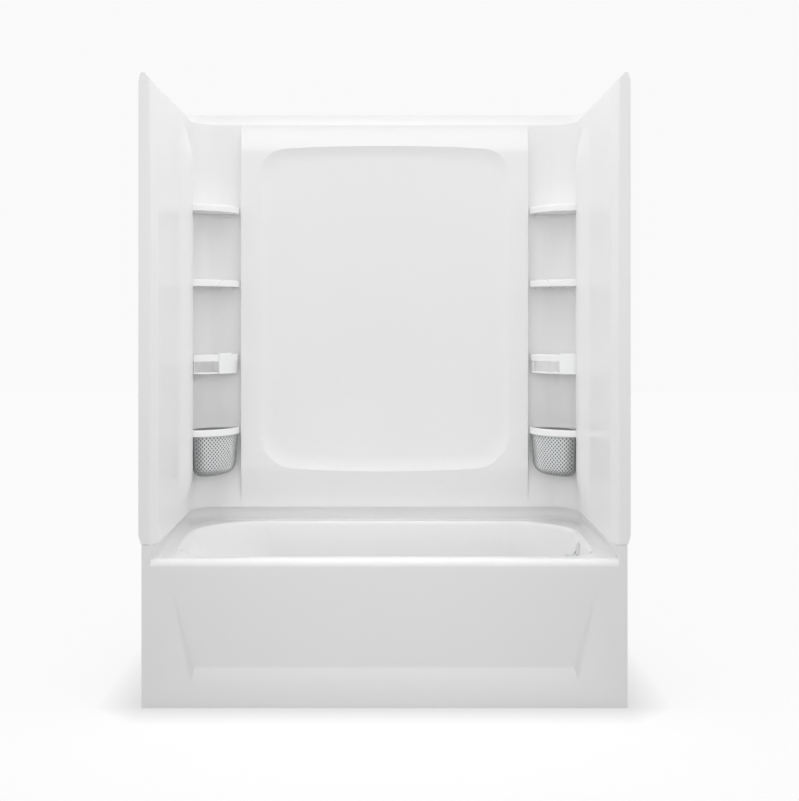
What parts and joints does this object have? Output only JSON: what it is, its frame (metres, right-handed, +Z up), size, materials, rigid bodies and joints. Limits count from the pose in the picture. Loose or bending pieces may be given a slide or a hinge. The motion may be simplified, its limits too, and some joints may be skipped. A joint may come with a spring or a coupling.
{
  "type": "tub and shower unit",
  "caption": "Alcove bath and shower unit: moulded bath with apron, three wall panels, corner shelves, trays and baskets, and a waste with overflow trip lever.",
  "frame": {"origin": "middle of the alcove's footprint, on the floor", "axes": "+X to the drain end, +Y to the back wall, +Z up"},
  "size_m": [1.544, 0.762, 1.994],
  "materials": {
    "white_bath": "glossy white moulded acrylic",
    "white_wall": "glossy white moulded acrylic",
    "white_shelf": "glossy white moulded plastic",
    "cup_plastic": "translucent white moulded plastic",
    "grey_basket": "satin light grey moulded plastic",
    "dark_seal": "dark closed-cell foam strip",
    "foam": "pale rigid foam",
    "spring_steel": "plain spring steel",
    "chrome_trim": "polished chrome plate",
    "brass_part": "plain turned brass",
    "rubber_part": "black rubber",
    "black_pipe": "black moulded waste pipe"
  },
  "bodies": {
    "trip_lever": {"trip_lever": "chrome_trim"},
    "lift_rod": {"lift_rod": "brass_part", "rod_nut": "brass_part", "plunger": "brass_part"},
    "left_top_shelf": {"left_top_shelf": "white_shelf"},
    "left_razor_shelf": {"left_razor_shelf": "white_shelf"},
    "left_tray": {"left_tray": "white_shelf"},
    "left_basket": {"left_basket_rim": "white_shelf", "left_basket": "grey_basket"},
    "left_tray_cup": {"left_tray_cup": "cup_plastic"},
    "right_top_shelf": {"right_top_shelf": "white_shelf"},
    "right_razor_shelf": {"right_razor_shelf": "white_shelf"},
    "right_tray": {"right_tray": "white_shelf"},
    "right_basket": {"right_basket_rim": "white_shelf", "right_basket": "grey_basket"},
    "right_tray_cup": {"right_tray_cup": "cup_plastic"},
    "root": {"bath_shell": "white_bath", "support_pad": "foam", "left_end_wall": "white_wall", "right_end_wall": "white_wall", "back_wall": "white_wall", "foot_seal": "dark_seal", "seam_seals": "dark_seal", "wall_clips": "spring_steel", "overflow_plate": "chrome_trim", "plate_screws": "chrome_trim", "lever_pin": "brass_part", "overflow_gasket": "rubber_part", "overflow_elbow": "black_pipe", "overflow_tube": "black_pipe", "waste_tee": "black_pipe", "slip_nuts": "black_pipe", "slip_washers": "rubber_part", "drain_shoe": "black_pipe", "shoe_washer": "rubber_part", "drain_flange": "chrome_trim", "drain_strainer": "chrome_trim", "strainer_screw": "chrome_trim", "tailpiece": "black_pipe"}
  },
  "joints": [
    {"name": "lever_swing", "type": "hinge", "parent": "root", "child": "trip_lever", "pos_m": [0.67388, -0.012, 0.40256], "axis": [0, 1, 0], "range_deg": [-15, 15]},
    {"name": "rod_lift", "type": "slide", "parent": "root", "child": "lift_rod", "axis": [0, 0, -1], "range_m": [-0.0098, 0.0098]},
    {"name": "left_top_shelf_draw", "type": "slide", "parent": "root", "child": "left_top_shelf", "axis": [0.7071, -0.7071, 0], "range_m": [0, 0.25]},
    {"name": "left_razor_shelf_draw", "type": "slide", "parent": "root", "child": "left_razor_shelf", "axis": [0.7071, -0.7071, 0], "range_m": [0, 0.25]},
    {"name": "left_tray_draw", "type": "slide", "parent": "root", "child": "left_tray", "axis": [0.7071, -0.7071, 0], "range_m": [0, 0.25]},
    {"name": "left_basket_draw", "type": "slide", "parent": "root", "child": "left_basket", "axis": [0.7071, -0.7071, 0], "range_m": [0, 0.25]},
    {"name": "left_cup_slide", "type": "hinge", "parent": "left_tray", "child": "left_tray_cup", "pos_m": [-0.716, 0.335, 1.06], "axis": [0, 0, 1], "range_deg": [-32.8, 22]},
    {"name": "right_top_shelf_draw", "type": "slide", "parent": "root", "child": "right_top_shelf", "axis": [-0.7071, -0.7071, 0], "range_m": [0, 0.25]},
    {"name": "right_razor_shelf_draw", "type": "slide", "parent": "root", "child": "right_razor_shelf", "axis": [-0.7071, -0.7071, 0], "range_m": [0, 0.25]},
    {"name": "right_tray_draw", "type": "slide", "parent": "root", "child": "right_tray", "axis": [-0.7071, -0.7071, 0], "range_m": [0, 0.25]},
    {"name": "right_basket_draw", "type": "slide", "parent": "root", "child": "right_basket", "axis": [-0.7071, -0.7071, 0], "range_m": [0, 0.25]},
    {"name": "right_cup_slide", "type": "hinge", "parent": "right_tray", "child": "right_tray_cup", "pos_m": [0.716, 0.335, 1.06], "axis": [0, 0, 1], "range_deg": [-54.8, 0]}
  ],
  "couplings": [
    {"joint": "rod_lift", "follows": "lever_swing", "m_per_rad": 0.036933}
  ]
}
